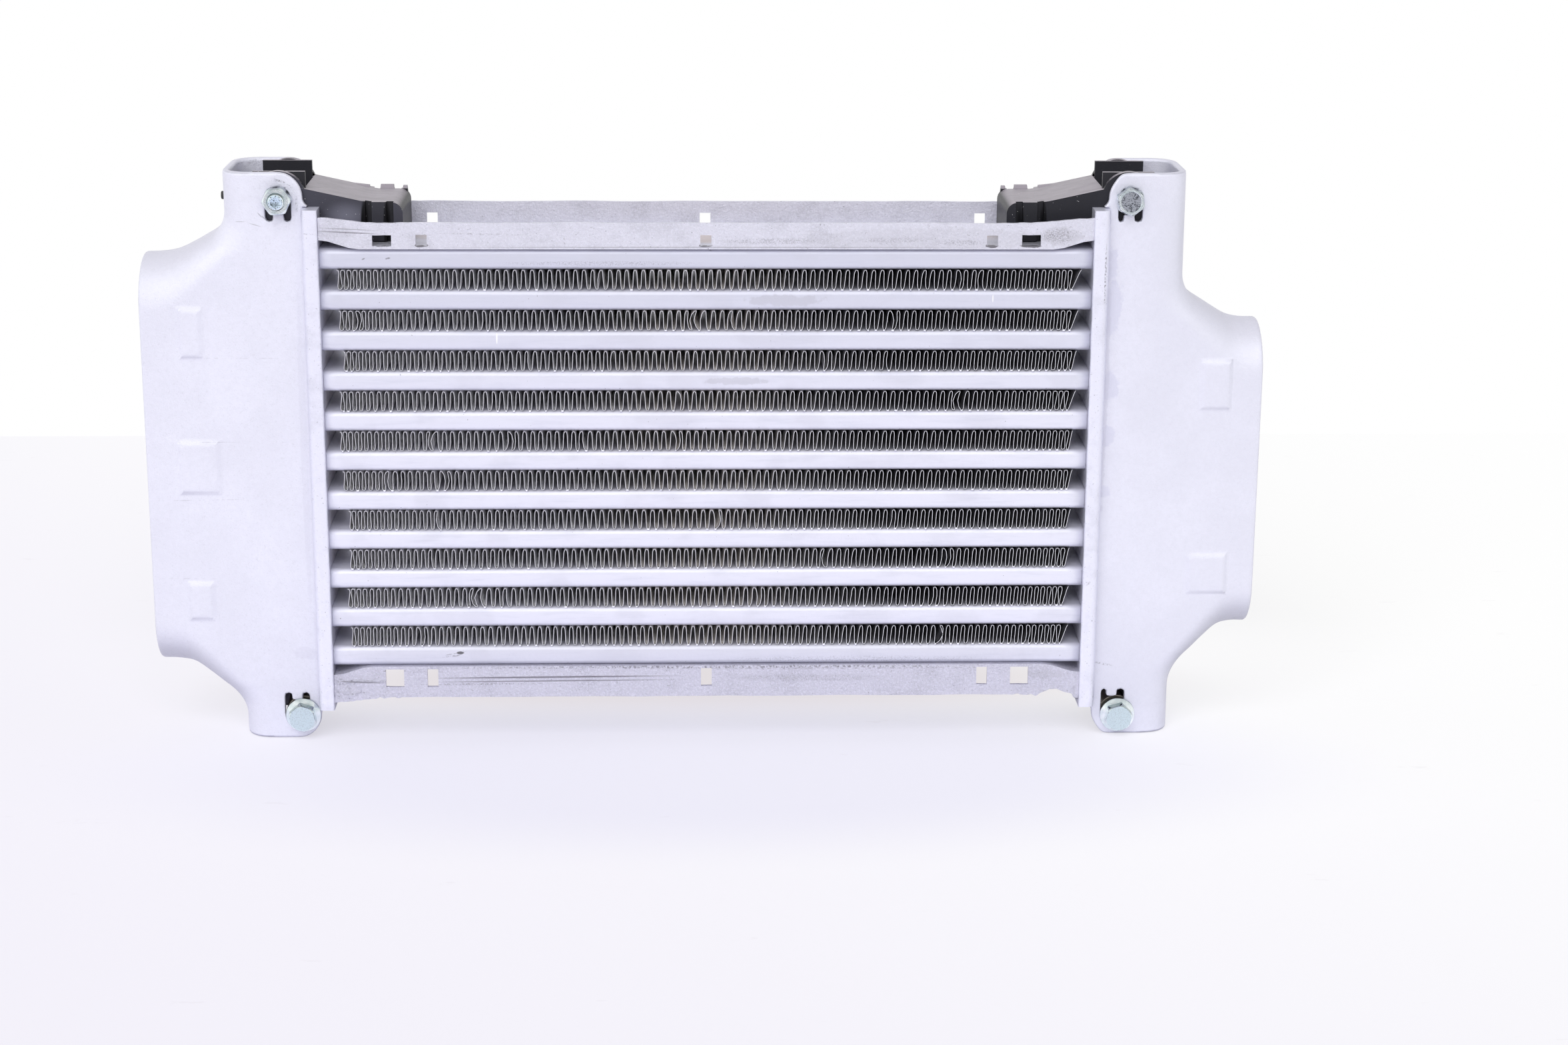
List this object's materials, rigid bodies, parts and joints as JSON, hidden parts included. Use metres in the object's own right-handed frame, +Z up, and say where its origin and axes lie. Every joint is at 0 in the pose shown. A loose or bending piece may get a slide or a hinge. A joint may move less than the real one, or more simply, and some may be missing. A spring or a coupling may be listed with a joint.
{
  "type": "intercooler",
  "caption": "Tube-and-fin charge air cooler with cast end tanks, flared oval ports, bolted ears and plastic holders.",
  "frame": {"origin": "centre of the underside, on the plane of the tanks' lower ends", "axes": "+X along the tubes towards the right-hand port, +Y through the core from front to back, +Z up"},
  "size_m": [0.439, 0.0556, 0.229],
  "materials": {
    "cast_aluminium": "satin cast, silver coated",
    "sheet_aluminium": "satin, brazed",
    "tube_aluminium": "satin, brazed",
    "fin_aluminium": "dull, brazed",
    "black_plastic": "moulded, matt",
    "zinc_steel": "bright zinc plated",
    "sleeve_steel": "dull plated",
    "dark_peg": "moulded, matt"
  },
  "bodies": {
    "root": {"left_tank": "cast_aluminium", "right_tank": "cast_aluminium", "left_header": "sheet_aluminium", "right_header": "sheet_aluminium", "upper_side_plate": "sheet_aluminium", "lower_side_plate": "sheet_aluminium", "left_holder": "black_plastic", "right_holder": "black_plastic", "upper_left_bolt": "zinc_steel", "upper_left_nut": "zinc_steel", "upper_right_bolt": "zinc_steel", "upper_right_nut": "zinc_steel", "lower_left_bolt": "zinc_steel", "lower_left_nut": "zinc_steel", "lower_right_bolt": "zinc_steel", "lower_right_nut": "zinc_steel", "lower_left_sleeve": "sleeve_steel", "lower_right_sleeve": "sleeve_steel", "left_locating_peg": "dark_peg", "tube_01": "tube_aluminium", "tube_02": "tube_aluminium", "tube_03": "tube_aluminium", "tube_04": "tube_aluminium", "tube_05": "tube_aluminium", "tube_06": "tube_aluminium", "tube_07": "tube_aluminium", "tube_08": "tube_aluminium", "tube_09": "tube_aluminium", "tube_10": "tube_aluminium", "tube_11": "tube_aluminium", "fin_01": "fin_aluminium", "fin_02": "fin_aluminium", "fin_03": "fin_aluminium", "fin_04": "fin_aluminium", "fin_05": "fin_aluminium", "fin_06": "fin_aluminium", "fin_07": "fin_aluminium", "fin_08": "fin_aluminium", "fin_09": "fin_aluminium", "fin_10": "fin_aluminium", "inner_fin_01": "fin_aluminium", "inner_fin_02": "fin_aluminium", "inner_fin_03": "fin_aluminium", "inner_fin_04": "fin_aluminium", "inner_fin_05": "fin_aluminium", "inner_fin_06": "fin_aluminium", "inner_fin_07": "fin_aluminium", "inner_fin_08": "fin_aluminium", "inner_fin_09": "fin_aluminium", "inner_fin_10": "fin_aluminium", "inner_fin_11": "fin_aluminium"}
  },
  "joints": []
}
